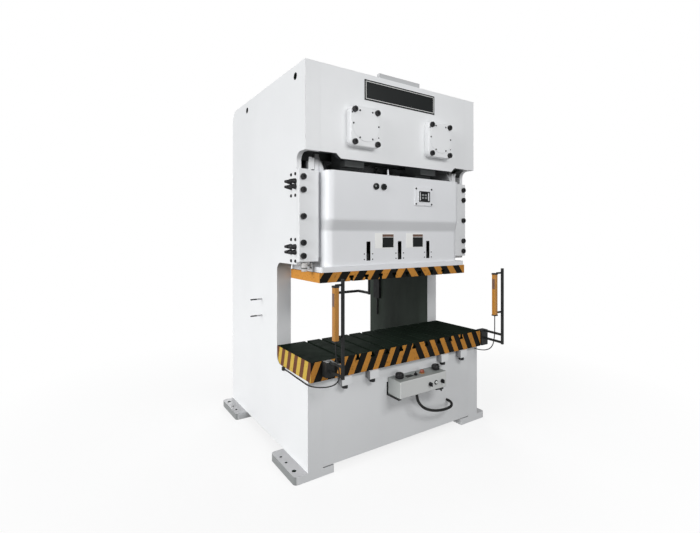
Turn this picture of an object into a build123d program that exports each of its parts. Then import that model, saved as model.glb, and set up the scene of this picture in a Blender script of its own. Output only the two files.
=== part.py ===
"""A C-frame mechanical stamping press with two connecting rods, in millimetres.

X runs across the press from its left side (-X) to its right side (+X), the operator stands at -Y,
and Z is up. The origin is on the floor, at the middle of the four anchor holes.
The slide is drawn at the top of its stroke.
"""

from build123d import *
from math import acos, atan2, cos, degrees, hypot, pi, radians, sin, sqrt, tan
import os

os.makedirs("parts", exist_ok=True)

# Frame: two thick C-shaped side frames on four feet, tied by the crown, the bed and the base plates
frame_width = 1900
frame_depth = 1750
frame_height = 3179
side_thickness = 130
crown_setback = 43
throat_wall_y = -311
bed_top_z = 745
throat_height = 863
throat_radius = 70
gib_seat_y = -687
crown_sill_z = 2490
window_radius = 60
window_skin = 40
window_depth = 287
window_floor_z = 2370
end_block_height = 94
end_block_depth = 47
end_block_width = 53
top_corner_radius = 110
lifting_radius = 29
lifting_z = 3095
lifting_ys = (-663, 426)

# Feet, with one anchor hole and two levelling screw holes each
foot_height = 60
foot_length = 440
foot_width = 338
foot_reach = 110
foot_corner_radius = 30
anchor_spacing_x = 2040
anchor_spacing_y = 1570
anchor_radius = 17.5
levelling_radius = 11
levelling_offsets = (140, 240)

# Plates that tie the side frames together
crown_plate = 50
crown_lip_z = 2452
crown_lip_half = 632
crown_lip_slope = 42
shell_plate = 40
shell_bottom_z = 2760
top_rib_length = 460
top_rib_height = 45
top_rib_thickness = 35
bed_plate_thickness = 90
base_plate_thickness = 45
base_front_bottom_z = 68
base_rear_y = 695
base_rear_top_z = 480
rear_skin = 20
rear_recess_depth = 135
rear_recess_top_z = 2600
gear_wall_y = -370
gear_wall_bottom_z = 2520
rear_wall_y = -130
rear_wall_bottom_z = 2250
wall_thickness = 40
drive_wall_y = 500
drive_wall_bottom_z = 2060

# Bolster, its T-slots and the blocks that clamp it to the bed
bolster_width = 1900
bolster_depth = 600
bolster_thickness = 150
bolster_overhang = 42
bolster_edge_radius = 80
slot_pitch = 150
bolster_slots = 10
slide_slots = 8
slot_mouth = 28
slot_head = 46
slot_neck_depth = 26
slot_head_height = 20
clamp_xs = (-642, -375, 433, 687)
clamp_width = 92
clamp_height = 66
clamp_thickness = 64
clamp_bolt_length = 45
clamp_bolt_head_height = 30

# Gib housings and liners
gib_lap = 45
gib_thickness = 41
gib_bottom_z = 1630
gib_top_z = 2356
gib_bolt_x = 914
gib_bolt_heights = (1679, 1782, 1989, 2197, 2299)
liner_thickness = 30
liner_back_y = -360
guide_clearance = 0.1
adjuster_ys = (-668, -592)
adjuster_heights = (1707, 1750, 2225, 2268)
adjuster_radius = 10
adjuster_reach = 58
lock_nut_radius = 18
lock_nut_thickness = 18

# Socket-head bolts of the gib housings, bearing covers and bolster clamps
bolt_head_radius = 24
bolt_head_height = 18
bolt_radius = 15
bolt_hole_clearance = 0.3
bolt_grip = 60

# Slide
slide_width = 1500
slide_front_y = -834
slide_step = 25
slide_back_y = -317
slide_top_z = 2357
slide_step_top_z = 1964
slide_step_bottom_z = 1877
slide_flange_top_z = 1588
slide_bottom_z = 1547
slide_corner_radius = 65
slide_wall = 45
slide_deck_z = 1940
slide_plate_width = 1644
slide_flange_width = 1616
slide_plate_thickness = 79
slide_plate_front_y = -827
rail_back_y = -380
rail_bottom_z = 1660
rail_top_z = 2497
gusset_thickness = 20
gusset_run = 100
stroke = 180

# Knock-out bars in their slots through the slide
knockout_xs = (-342, 0, 342)
knockout_slot_width = 41
knockout_slot_bottom_z = 1627
knockout_slot_top_z = 1787
knockout_bar_width = 37
knockout_bar_height = 60
knockout_bar_recess = 14
rest_gap = 0.3

# Crankshafts, connecting rods and suspension
crank_x = 425
crank_z = 2718
journal_radius = 85
running_clearance = 0.05
bush_wall = 20
boss_wall = 50
eccentric_radius = 185
eccentric_width = 180
rod_centre_y = -575
strap_wall = 55
rod_length = 560
shank_width = 190
shank_depth = 150
shank_bottom_z = 2330
collar_depth = 300
collar_bottom_z = 2415
collar_height = 52
screw_radius = 55
screw_clearance = 0.3
ball_radius = 75
screw_top_z = 2560
overload_radius = 110
overload_gap = 23
cover_width = 300
cover_height = 322
cover_thickness = 60
cover_corner_radius = 50
cover_bolt_x = 113
cover_bolt_z = 130
cover_disc_radius = 135
cover_disc_rise = 17
cover_disc_height = 3

# Gear train
gear_module = 15
main_gear_teeth = 48
pinion_teeth = 16
gear_face = 120
gear_front_y = -290
backlash = 1.6
pressure_angle = 25
gear_web = 50
gear_rim = 45
gear_hub_radius = 130

# Flywheel drive
pinion_shaft_radius = 60
flywheel_radius = 400
flywheel_width = 180
flywheel_front_y = 590
flywheel_rim = 95
flywheel_web = 60
clutch_radius = 190
clutch_width = 40
pulley_radius = 85
belt_width = 130
belt_thickness = 14
motor_z = 1750
motor_radius = 150
motor_length = 330
motor_back_y = 540
motor_shaft_radius = 24
motor_fins = 12
motor_shelf_thickness = 30

# Counterbalance cylinders
balance_x = 768
balance_y = -430
balance_radius = 48
balance_bore = 38
balance_bottom_z = 2560
balance_top_z = 3000
balance_rod_radius = 18

# Operator's console
console_centre_x = 75
console_width = 530
console_depth = 165
console_height = 137
console_bottom_z = 503
console_standoff = 4
console_radius = 6
palm_spacing = 418
palm_radius = 36
palm_height = 46
palm_travel = 6
stop_x = 123
stop_radius = 20
stop_height = 28
switch_x = 29
knob_xs = (138, 282)
knob_z = 565
knob_radius = 17
button_gap = 0.5

# Light curtains on posts at the bolster's ends; both units are the same way round
curtain_xs = {"left": -862, "right": 899}
curtain_y = -1125
curtain_width = 40
curtain_bottom_z = 1083
curtain_top_z = 1476
post_xs = {"left": -801, "right": 981}
post_ys = {"left": -1125, "right": -1148}
post_size = 20
post_bottom_z = 806
post_top_z = 1526
arm_height = 21
arm_thickness = 10
arm_heights = (822, 895)
clamp_strap_height = 16
cable_radius = 4.5
conduit_radius = 12
cord_sides = 8

# Values worked out from the driving sizes
side_x = frame_width / 2
inner_x = side_x - side_thickness
front_y = -frame_depth / 2
back_y = frame_depth / 2
crown_y = front_y + crown_setback
throat_roof_z = bed_top_z + throat_height
bolster_front_y = front_y - bolster_overhang
bolster_back_y = bolster_front_y + bolster_depth
bolster_top_z = bed_top_z + bolster_thickness
liner_x = inner_x - liner_thickness
slide_plate_z = slide_bottom_z - slide_plate_thickness
rod_front_y = rod_centre_y - eccentric_width / 2
rod_back_y = rod_centre_y + eccentric_width / 2
eccentric_z = crank_z + stroke / 2
ball_z = eccentric_z - rod_length
bush_radius = journal_radius + bush_wall
boss_radius = bush_radius + boss_wall
main_pitch_radius = gear_module * main_gear_teeth / 2
pinion_pitch_radius = gear_module * pinion_teeth / 2
pinion_drop = sqrt((main_pitch_radius + pinion_pitch_radius) ** 2 - crank_x**2)
pinion_z = crank_z - pinion_drop
gear_back_y = gear_front_y + gear_face
flywheel_back_y = flywheel_front_y + flywheel_width
belt_front_y = flywheel_front_y + (flywheel_width - belt_width) / 2
gib_front_y = gib_seat_y - gib_thickness
console_top_z = console_bottom_z + console_height
console_back_y = front_y - console_standoff
console_front_y = console_back_y - console_depth
console_middle_y = console_back_y - console_depth / 2

bolt_hole_radius = (bolt_radius + bolt_hole_clearance) / cos(pi / 12)

sides = {"left": -1, "right": 1}


def profile(points, rounds=()):
    """A closed flat outline; rounds lists the corners to round, as (number of the corner, radius)."""
    face = Polygon(*points, align=None)
    for index, radius in rounds:
        corner = face.vertices().sort_by_distance((*points[index], 0))[0]
        face = fillet(corner, radius)
    return face


def block(x0, x1, y0, y1, z0, z1):
    """A rectangular block between two opposite corners."""
    size = (abs(x1 - x0), abs(y1 - y0), abs(z1 - z0))
    return Pos((x0 + x1) / 2, (y0 + y1) / 2, (z0 + z1) / 2) * Box(*size)


def across(face, x0, x1):
    """Extrude a face drawn in Y and Z from x0 to x1."""
    low, high = min(x0, x1), max(x0, x1)
    return extrude(Plane.YZ.offset(low) * face, high - low, dir=(1, 0, 0))


def lengthwise(face, y0, y1):
    """Extrude a face drawn in X and Z from y0 back to y1."""
    return extrude(Plane.XZ.offset(-y0) * face, y1 - y0, dir=(0, 1, 0))


def upright(face, z0, z1):
    """Extrude a face drawn in X and Y from z0 up to z1."""
    return extrude(Plane.XY.offset(z0) * face, z1 - z0, dir=(0, 0, 1))


def round_bar(x, y, z, axis, length, radius):
    """A cylinder that starts at a point and runs along axis."""
    return extrude(Plane(origin=(x, y, z), z_dir=axis) * Circle(radius), length)


def plain_bar(x, y, z, axis, length, radius, sides_count=8):
    """A straight bar of many flat sides, for bolts and the holes that clear them."""
    return extrude(Plane(origin=(x, y, z), z_dir=axis) * RegularPolygon(radius, sides_count), length)


def clearing(radius):
    """The corner radius of a twelve-sided hole that clears a round of this radius all round."""
    return radius / cos(pi / 12)


def turned(outline, x, z):
    """A turned piece about the line along Y through x and z; the outline lists (radius, y)."""
    return Pos(x, 0, z) * revolve(Polygon(*outline, align=None), Axis.Y)


def joined(*shapes):
    """Fuse shapes into one solid."""
    whole = shapes[0]
    for shape in shapes[1:]:
        whole = whole + shape
    return whole


def write(name, *shapes):
    """Write one node; several shapes stay separate solids in it."""
    solids = [solid for shape in shapes for solid in shape.solids()]
    node = solids[0] if len(solids) == 1 else Compound(children=solids)
    node.label = name
    export_step(node, f"parts/{name}.step")


def foot_plate(side, end):
    """A foot with rounded outer corners; side is -1 or 1 in X, end is -1 front or 1 back."""
    outer_x = side * (side_x + foot_reach)
    middle_x = outer_x - side * foot_width / 2
    middle_y = end * (frame_depth - foot_length) / 2
    face = Pos(middle_x, middle_y) * Rectangle(foot_width, foot_length)
    outer_corners = face.vertices().sort_by(Axis.X)[-2:] if side > 0 else face.vertices().sort_by(Axis.X)[:2]
    face = fillet(outer_corners, foot_corner_radius)
    hole_x = side * anchor_spacing_x / 2
    anchor_y = end * anchor_spacing_y / 2
    face -= Pos(hole_x, anchor_y) * Circle(anchor_radius)
    for offset in levelling_offsets:
        face -= Pos(hole_x, anchor_y - end * offset) * Circle(levelling_radius)
    return upright(face, 0, foot_height)


def side_frame(side):
    """One C-shaped side frame with its feet, bored for lifting, gib bolts and gib adjusters.

    It is hollow inside the window under the crown, where an end block stands over the gib,
    and its inner part stops short at the rear.
    """
    outline = (
        (front_y, foot_height),
        (front_y, bed_top_z),
        (throat_wall_y, bed_top_z),
        (throat_wall_y, throat_roof_z),
        (gib_seat_y, throat_roof_z),
        (gib_seat_y, crown_sill_z),
        (crown_y, crown_sill_z),
        (crown_y, frame_height),
        (back_y, frame_height),
        (back_y, foot_height),
    )
    rounds = ((2, throat_radius), (3, throat_radius), (5, window_radius), (8, top_corner_radius))
    face = profile(outline, rounds)
    for y in lifting_ys:
        face -= Pos(y, lifting_z) * Circle(lifting_radius)
    for y in adjuster_ys:
        for z in adjuster_heights:
            face -= Pos(y, z) * RegularPolygon(clearing(adjuster_radius + bolt_hole_clearance), 12)
    body = joined(across(face, side * inner_x, side * side_x), foot_plate(side, -1), foot_plate(side, 1))
    for z in gib_bolt_heights:
        start = (side * gib_bolt_x, gib_seat_y, z)
        body -= plain_bar(*start, (0, 1, 0), bolt_grip, bolt_hole_radius, 12)
    recess_y = back_y - rear_recess_depth
    body -= block(side * inner_x, side * (side_x - rear_skin), recess_y, back_y, foot_height, rear_recess_top_z)
    window_back_y = gib_seat_y + window_depth
    body -= block(
        side * inner_x, side * (side_x - window_skin), gib_seat_y, window_back_y, window_floor_z, crown_sill_z
    )
    end_block_x = liner_x + 2
    return body + block(
        side * end_block_x,
        side * (end_block_x + end_block_width),
        gib_seat_y,
        gib_seat_y + end_block_depth,
        window_floor_z,
        window_floor_z + end_block_height,
    )


def crown_front():
    """The crown's front plate, with the bearing bosses behind it and a rib on its top edge."""
    lip_end = crown_lip_half + crown_lip_slope
    face = profile(
        (
            (-inner_x, crown_sill_z),
            (-lip_end, crown_sill_z),
            (-crown_lip_half, crown_lip_z),
            (crown_lip_half, crown_lip_z),
            (lip_end, crown_sill_z),
            (inner_x, crown_sill_z),
            (inner_x, frame_height),
            (-inner_x, frame_height),
        )
    )
    body = lengthwise(face, crown_y, crown_y + crown_plate)
    boss_back_y = rod_front_y - 15
    for side in sides.values():
        centre = (side * crank_x, crown_y, crank_z)
        body += round_bar(*centre, (0, 1, 0), boss_back_y - crown_y, boss_radius)
        body -= round_bar(*centre, (0, 1, 0), boss_back_y - crown_y, bush_radius)
        for x in (-cover_bolt_x, cover_bolt_x):
            for z in (-cover_bolt_z, cover_bolt_z):
                start = (centre[0] + x, crown_y, crank_z + z)
                body -= plain_bar(*start, (0, 1, 0), crown_plate, bolt_hole_radius, 12)
    rib_y = crown_y + 16
    rib = block(
        -top_rib_length / 2,
        top_rib_length / 2,
        rib_y,
        rib_y + top_rib_thickness,
        frame_height,
        frame_height + top_rib_height,
    )
    return body + rib


def crown_shell():
    """The top and rear plate of the crown, bent in one piece round the top rear corner."""
    start_y = crown_y + crown_plate
    outer = (start_y, frame_height), (back_y, frame_height), (back_y, shell_bottom_z)
    inner = (
        (back_y - shell_plate, shell_bottom_z),
        (back_y - shell_plate, frame_height - shell_plate),
        (start_y, frame_height - shell_plate),
    )
    rounds = ((1, top_corner_radius), (4, top_corner_radius - shell_plate))
    return across(profile(outer + inner, rounds), -inner_x, inner_x)


def bearing_wall(y, bottom_z, holes):
    """A cross wall between the side frames with bossed bearing seats at the (x, z) of holes."""
    top_z = frame_height - shell_plate
    body = block(-inner_x, inner_x, y, y + wall_thickness, bottom_z, top_z)
    for x, z, reach_front, reach_back, bore in holes:
        length = wall_thickness + reach_front + reach_back
        start = (x, y - reach_front, z)
        body += round_bar(*start, (0, 1, 0), length, bore + boss_wall)
        body -= round_bar(*start, (0, 1, 0), length, bore)
    return body


pinion_bush_radius = pinion_shaft_radius + bush_wall
gear_wall_reach = 60
rear_wall_reach = 50
drive_wall_reach = 20


def gear_case():
    """The two cross walls each side of the main gears, tied along the side frames."""
    crank_seats = [(side * crank_x, crank_z, gear_wall_reach, 0, bush_radius) for side in sides.values()]
    rear_seats = [(side * crank_x, crank_z, 0, rear_wall_reach, bush_radius) for side in sides.values()]
    rear_seats.append((0, pinion_z, 0, rear_wall_reach, pinion_bush_radius))
    tie = 20
    walls = joined(
        bearing_wall(gear_wall_y, gear_wall_bottom_z, crank_seats),
        bearing_wall(rear_wall_y, rear_wall_bottom_z, rear_seats),
    )
    for side in sides.values():
        walls += block(
            side * (inner_x - tie),
            side * inner_x,
            gear_wall_y + wall_thickness,
            rear_wall_y,
            crank_z + main_pitch_radius,
            frame_height - shell_plate,
        )
    return walls


def drive_wall():
    """The rear cross wall that carries the pinion shaft's rear bearing."""
    seat = (0, pinion_z, drive_wall_reach, drive_wall_reach, pinion_bush_radius)
    return bearing_wall(drive_wall_y, drive_wall_bottom_z, [seat])


def base_plates():
    """The bed plate that carries the bolster, and the front and rear plates of the base."""
    under_z = bed_top_z - bed_plate_thickness
    bed = block(-inner_x, inner_x, front_y, throat_wall_y, under_z, bed_top_z)
    write("bed_plate", bed)
    front_end_y = front_y + base_plate_thickness
    write("base_front", block(-inner_x, inner_x, front_y, front_end_y, base_front_bottom_z, under_z))
    rear_end_y = base_rear_y + base_plate_thickness
    write("base_rear", block(-inner_x, inner_x, base_rear_y, rear_end_y, foot_height, base_rear_top_z))


def slot_positions(count):
    """X of each T-slot in a row of count slots about the middle."""
    return [(index - (count - 1) / 2) * slot_pitch for index in range(count)]


def slot_face(x, surface_z, direction):
    """The section of one T-slot, cut from a surface at surface_z; direction is -1 down or 1 up."""
    neck_end = surface_z + direction * slot_neck_depth
    head_end = neck_end + direction * slot_head_height
    beyond = surface_z - direction
    neck, head = slot_mouth / 2, slot_head / 2
    return profile(
        (
            (x - neck, beyond),
            (x - neck, neck_end),
            (x - head, neck_end),
            (x - head, head_end),
            (x + head, head_end),
            (x + head, neck_end),
            (x + neck, neck_end),
            (x + neck, beyond),
        )
    )


def bolster():
    """The bolster plate, rounded under its rear edge to clear the throat, with its T-slots."""
    outline = (
        (bolster_front_y, bed_top_z),
        (bolster_front_y, bolster_top_z),
        (bolster_back_y, bolster_top_z),
        (bolster_back_y, bed_top_z),
    )
    plate = across(profile(outline, ((3, bolster_edge_radius),)), -bolster_width / 2, bolster_width / 2)
    for x in slot_positions(bolster_slots):
        plate -= lengthwise(slot_face(x, bolster_top_z, -1), bolster_front_y, bolster_back_y)
    return plate


def clamp_block(x):
    """One block against the base front, hooked under the bolster's overhang, with a bolt hole."""
    top_z = bed_top_z
    body = block(
        x - clamp_width / 2,
        x + clamp_width / 2,
        front_y - clamp_thickness,
        front_y,
        top_z - clamp_height,
        top_z,
    )
    start = (x, front_y - clamp_thickness / 2, top_z - clamp_height)
    return body - plain_bar(*start, (0, 0, 1), clamp_bolt_length, bolt_hole_radius, 12)


def socket_bolt(x, y, z, axis, grip, head_height=bolt_head_height):
    """A socket-head bolt seated at a point, its shank along axis and its head on the other side."""
    head = Plane(origin=(x, y, z), z_dir=axis)
    socket = bolt_radius * 0.8
    shank = extrude(head * RegularPolygon(bolt_radius, 8), grip)
    cap = extrude(head * RegularPolygon(bolt_head_radius, 16), -head_height)
    recess_plane = Plane(head.from_local_coords((0, 0, -head_height)), z_dir=axis)
    recess = extrude(recess_plane * RegularPolygon(socket, 6), bolt_head_height / 2)
    return joined(cap, shank) - recess


def socket_bolts():
    """All the large socket-head bolts."""
    bolts = []
    for side in sides.values():
        for z in gib_bolt_heights:
            bolts.append(socket_bolt(side * gib_bolt_x, gib_front_y, z, (0, 1, 0), gib_thickness + bolt_grip - 2))
        for x in (-cover_bolt_x, cover_bolt_x):
            for z in (-cover_bolt_z, cover_bolt_z):
                cover_face_y = crown_y - cover_thickness
                place = (side * crank_x + x, cover_face_y, crank_z + z)
                bolts.append(socket_bolt(*place, (0, 1, 0), cover_thickness + crown_plate - 2))
    for x in clamp_xs:
        place = (x, front_y - clamp_thickness / 2, bed_top_z - clamp_height)
        bolts.append(socket_bolt(*place, (0, 0, 1), clamp_bolt_length - 2, clamp_bolt_head_height))
    return bolts


def gib_housing(side):
    """The plate bolted to the side frame's front edge that keeps the slide's rail and liner in."""
    x_inner = side * (inner_x - gib_lap)
    face = Pos((x_inner + side * side_x) / 2, (gib_bottom_z + gib_top_z) / 2) * Rectangle(
        abs(side * side_x - x_inner), gib_top_z - gib_bottom_z
    )
    body = chamfer(lengthwise(face, gib_front_y, gib_seat_y).edges().group_by(Axis.Y)[0], 4)
    for z in gib_bolt_heights:
        body -= plain_bar(side * gib_bolt_x, gib_front_y, z, (0, 1, 0), gib_thickness, bolt_hole_radius, 12)
    return body


def gib_liner(side):
    """The bronze liner between the side frame and the slide's rail."""
    return block(side * liner_x, side * inner_x, gib_seat_y, liner_back_y, gib_bottom_z + 10, gib_top_z - 10)


def gib_adjuster(side, y, z):
    """An adjusting screw through the side frame, with its hexagonal lock nut outside."""
    start = Plane(origin=(side * (inner_x + 0.1), y, z), z_dir=(side, 0, 0))
    shank = extrude(start * RegularPolygon(adjuster_radius, 8), side_thickness + adjuster_reach)
    nut_plane = Plane(origin=(side * side_x, y, z), z_dir=(side, 0, 0))
    nut = extrude(nut_plane * RegularPolygon(lock_nut_radius, 6), lock_nut_thickness)
    return joined(shank, nut)


def slide_plan(front, width, radius):
    """The slide's plan outline, its two front corners rounded."""
    half = width / 2
    corners = ((-half, front), (half, front), (half, slide_back_y), (-half, slide_back_y))
    return profile(corners, ((0, radius), (1, radius)))


def slide_body():
    """The slide: a stepped front with rounded corners, an open tub on top, side rails and gussets."""
    lower_front_y = slide_front_y + slide_step
    upper = slide_plan(slide_front_y, slide_width, slide_corner_radius)
    lower = slide_plan(lower_front_y, slide_width, slide_corner_radius)
    slope = loft([Plane.XY.offset(slide_step_bottom_z) * lower, Plane.XY.offset(slide_step_top_z) * upper])
    flange = slide_plan(slide_plate_front_y, slide_flange_width, 12)
    body = joined(
        upright(upper, slide_step_top_z, slide_top_z),
        slope,
        upright(lower, slide_bottom_z, slide_step_bottom_z),
        upright(flange, slide_bottom_z, slide_flange_top_z),
    )
    tub_x = slide_width / 2 - slide_wall
    tub = block(
        -tub_x, tub_x, slide_front_y + slide_wall, slide_back_y - slide_wall, slide_deck_z, slide_top_z + 1
    )
    body -= tub
    slot_height = knockout_slot_top_z - knockout_slot_bottom_z
    slot_z = (knockout_slot_top_z + knockout_slot_bottom_z) / 2
    for x in knockout_xs:
        slot = Pos(x, slot_z) * SlotOverall(slot_height, knockout_slot_width, rotation=90)
        body -= lengthwise(slot, slide_front_y - 1, slide_back_y + 1)
    for side in sides.values():
        body += side_rail(side)
        body += gusset(side)
    return body


def side_rail(side):
    """The guide rail on the slide's side, a running clearance from the liner and the housing."""
    outer = side * (liner_x - guide_clearance)
    return block(
        side * slide_width / 2,
        outer,
        gib_seat_y + guide_clearance,
        rail_back_y,
        rail_bottom_z,
        rail_top_z,
    )


def gusset(side):
    """The gusset plate above the slide that braces the rail, its front edge sloping back."""
    foot_y = slide_front_y + 2 * slide_wall
    outline = (
        (foot_y, slide_top_z),
        (foot_y + gusset_run, rail_top_z),
        (rail_back_y, rail_top_z),
        (rail_back_y, slide_top_z),
    )
    outer = side * slide_width / 2
    return across(profile(outline), outer, outer - side * gusset_thickness)


def slide_plate():
    """The slide's bottom plate with T-slots for the upper die."""
    plate = upright(slide_plan(slide_plate_front_y, slide_plate_width, 6), slide_plate_z, slide_bottom_z)
    for x in slot_positions(slide_slots):
        plate -= lengthwise(slot_face(x, slide_plate_z, 1), slide_plate_front_y - 1, slide_back_y + 1)
    return plate


def knockout_bar(x):
    """A round-edged bar that rests in its slot and lifts to eject the work."""
    z = knockout_slot_bottom_z + rest_gap + knockout_bar_height / 2
    face = Pos(x, z) * SlotOverall(knockout_bar_height, knockout_bar_width, rotation=90)
    front = slide_front_y + slide_step + knockout_bar_recess
    return lengthwise(face, front, slide_back_y - knockout_bar_recess)


def crankshaft(side):
    """A shaft on three bearings with one wide eccentric, drawn at the top of its turn."""
    front_end = crown_y + 6
    back_end = rear_wall_y + wall_thickness + rear_wall_reach + 6
    shaft = round_bar(side * crank_x, front_end, crank_z, (0, 1, 0), back_end - front_end, journal_radius)
    disc = round_bar(side * crank_x, rod_front_y, eccentric_z, (0, 1, 0), eccentric_width, eccentric_radius)
    return shaft + disc


def con_rod(side):
    """A strap round the eccentric with a bored shank and a clamping collar for the screw."""
    x = side * crank_x
    strap_radius = eccentric_radius + strap_wall
    strap = round_bar(x, rod_front_y + 1, eccentric_z, (0, 1, 0), eccentric_width - 2, strap_radius)
    shank = block(
        x - shank_width / 2,
        x + shank_width / 2,
        rod_centre_y - shank_depth / 2,
        rod_centre_y + shank_depth / 2,
        shank_bottom_z,
        eccentric_z - eccentric_radius,
    )
    collar = block(
        x - shank_width / 2 - 2,
        x + shank_width / 2 + 2,
        rod_centre_y - collar_depth / 2,
        rod_centre_y + collar_depth / 2,
        collar_bottom_z,
        collar_bottom_z + collar_height,
    )
    bore = round_bar(
        x, rod_front_y, eccentric_z, (0, 1, 0), eccentric_width, eccentric_radius + running_clearance
    )
    thread = round_bar(
        x, rod_centre_y, shank_bottom_z, (0, 0, 1), screw_top_z + 4 - shank_bottom_z, screw_radius + screw_clearance
    )
    return joined(strap, shank, collar) - bore - thread


def rod_screw(side):
    """The adjusting screw whose ball carries the slide."""
    x = side * crank_x
    bands = 10
    angles = [radians(-90 + 180 * index / bands) for index in range(bands + 1)]
    outline = [(ball_radius * cos(angle), ball_z + ball_radius * sin(angle)) for angle in angles[1:]]
    neck = [point for point in outline if point[0] > screw_radius or point[1] < ball_z]
    outline = [(0, ball_z - ball_radius), *neck, (screw_radius, screw_top_z), (0, screw_top_z)]
    neck_z = ball_z + sqrt(ball_radius**2 - screw_radius**2)
    outline.insert(len(outline) - 2, (screw_radius, neck_z))
    return Pos(x, rod_centre_y) * revolve(Plane.XZ * Polygon(*outline, align=None), Axis.Z)


def overload_cylinder(side):
    """The hydraulic overload cylinder on the slide's deck, under the ball."""
    x = side * crank_x
    height = ball_z - ball_radius - overload_gap - slide_deck_z
    body = round_bar(x, rod_centre_y, slide_deck_z, (0, 0, 1), height, overload_radius)
    dish = Pos(x, rod_centre_y, slide_deck_z + height) * Cylinder(overload_radius / 2, 8)
    return body - dish


def adjust_motor():
    """The slide adjusting motor on the deck, with its cross shaft to both suspension points."""
    z = slide_deck_z + 120
    y = rod_centre_y
    reach = crank_x - overload_radius - rest_gap
    motor = round_bar(-110, y, z, (1, 0, 0), 220, 80)
    foot = block(-90, 90, y - 60, y + 60, slide_deck_z, z)
    shaft = round_bar(-reach, y, z, (1, 0, 0), 2 * reach, 16)
    return joined(motor, foot, shaft)


def bearing_cover(side):
    """A thick cover plate with rounded corners over the front end of a crankshaft."""
    x = side * crank_x
    face_y = crown_y - cover_thickness
    outline = Pos(x, crank_z) * RectangleRounded(cover_width, cover_height, cover_corner_radius)
    body = lengthwise(outline, face_y, crown_y)
    body = chamfer(body.edges().group_by(Axis.Y)[0], 5)
    disc_z = crank_z + cover_disc_rise
    body += round_bar(x, face_y - cover_disc_height, disc_z, (0, 1, 0), cover_thickness, cover_disc_radius)
    for dx in (-cover_bolt_x, cover_bolt_x):
        for dz in (-cover_bolt_z, cover_bolt_z):
            start = (x + dx, face_y, crank_z + dz)
            body -= plain_bar(*start, (0, 1, 0), cover_thickness, bolt_hole_radius, 12)
            body -= plain_bar(*start, (0, -1, 0), cover_disc_height, clearing(bolt_head_radius + 1), 12)
    return body


def bush(x, z, y0, y1, bore, outside):
    """A plain bearing bush."""
    return turned(((bore, y0), (outside, y0), (outside, y1), (bore, y1)), x, z)


def shaft_bushes():
    """The bronze bushes of the crankshafts and the pinion shaft."""
    bushes = []
    bore = journal_radius + running_clearance
    for side in sides.values():
        x = side * crank_x
        spans = (
            (crown_y, rod_front_y - 15),
            (gear_wall_y - gear_wall_reach, gear_wall_y + wall_thickness),
            (rear_wall_y, rear_wall_y + wall_thickness + rear_wall_reach),
        )
        bushes += [bush(x, crank_z, y0, y1, bore, bush_radius) for y0, y1 in spans]
    bore = pinion_shaft_radius + running_clearance
    spans = (
        (rear_wall_y, rear_wall_y + wall_thickness + rear_wall_reach),
        (drive_wall_y - drive_wall_reach, drive_wall_y + wall_thickness + drive_wall_reach),
    )
    bushes += [bush(0, pinion_z, y0, y1, bore, pinion_bush_radius) for y0, y1 in spans]
    return bushes


def gear_face_outline(teeth, phase):
    """A spur gear outline about the origin, with a tooth centred at the angle phase in degrees."""
    pitch_radius = gear_module * teeth / 2
    root_radius = pitch_radius - 1.25 * gear_module
    tip_radius = pitch_radius + gear_module
    base_radius = pitch_radius * cos(radians(pressure_angle))
    at_pitch = pi / (2 * teeth) - backlash / (2 * pitch_radius)

    def half_angle(radius):
        lean = acos(min(1, base_radius / radius))
        full = radians(pressure_angle)
        return at_pitch + (tan(full) - full) - (tan(lean) - lean)

    flank = [(radius, half_angle(radius)) for radius in (root_radius, pitch_radius, tip_radius)]
    tooth = [(radius, -angle) for radius, angle in flank] + flank[::-1]
    points = []
    for index in range(teeth):
        centre = radians(phase) + 2 * pi * index / teeth
        points += [(radius * cos(centre + angle), radius * sin(centre + angle)) for radius, angle in tooth]
    return Polygon(*points, align=None)


def main_gear(side):
    """A webbed gear keyed to the crankshaft, in mesh with the pinion below the middle."""
    to_gear = degrees(atan2(pinion_drop, side * crank_x))
    pinion_pitch = 360 / pinion_teeth
    along = (to_gear / pinion_pitch) % 1
    phase = to_gear + 180 + (along - 0.5) * 360 / main_gear_teeth
    x = side * crank_x
    place = Pos(x, crank_z)
    blank = lengthwise(place * gear_face_outline(main_gear_teeth, phase), gear_front_y, gear_back_y)
    rim_radius = main_pitch_radius - 1.25 * gear_module - gear_rim
    recess = place * (Circle(rim_radius) - Circle(gear_hub_radius))
    depth = (gear_face - gear_web) / 2
    blank -= lengthwise(recess, gear_front_y, gear_front_y + depth)
    blank -= lengthwise(recess, gear_back_y - depth, gear_back_y)
    return blank - round_bar(x, gear_front_y, crank_z, (0, 1, 0), gear_face, journal_radius)


def pinion_shaft():
    """The pinion and its long shaft in one forging, with the clutch hub shrunk on behind."""
    teeth = lengthwise(Pos(0, pinion_z) * gear_face_outline(pinion_teeth, 0), gear_front_y, gear_back_y)
    shaft = round_bar(
        0, gear_front_y, pinion_z, (0, 1, 0), flywheel_back_y + 30 - gear_front_y, pinion_shaft_radius
    )
    hub_y = drive_wall_y - drive_wall_reach - clutch_width - 20
    hub = round_bar(0, hub_y, pinion_z, (0, 1, 0), clutch_width, clutch_radius)
    return joined(teeth, shaft, hub)


def flywheel():
    """A heavy-rimmed flywheel that turns freely on the pinion shaft."""
    bore = pinion_shaft_radius + running_clearance
    hub = pinion_shaft_radius + 70
    rim = flywheel_radius - flywheel_rim
    y0, y1 = flywheel_front_y, flywheel_back_y
    w0 = (y0 + y1 - flywheel_web) / 2
    w1 = w0 + flywheel_web
    outline = (
        (bore, y0),
        (hub, y0),
        (hub, w0),
        (rim, w0),
        (rim, y0),
        (flywheel_radius, y0),
        (flywheel_radius, y1),
        (rim, y1),
        (rim, w1),
        (hub, w1),
        (hub, y1),
        (bore, y1),
    )
    return turned(outline, 0, pinion_z)


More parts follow.
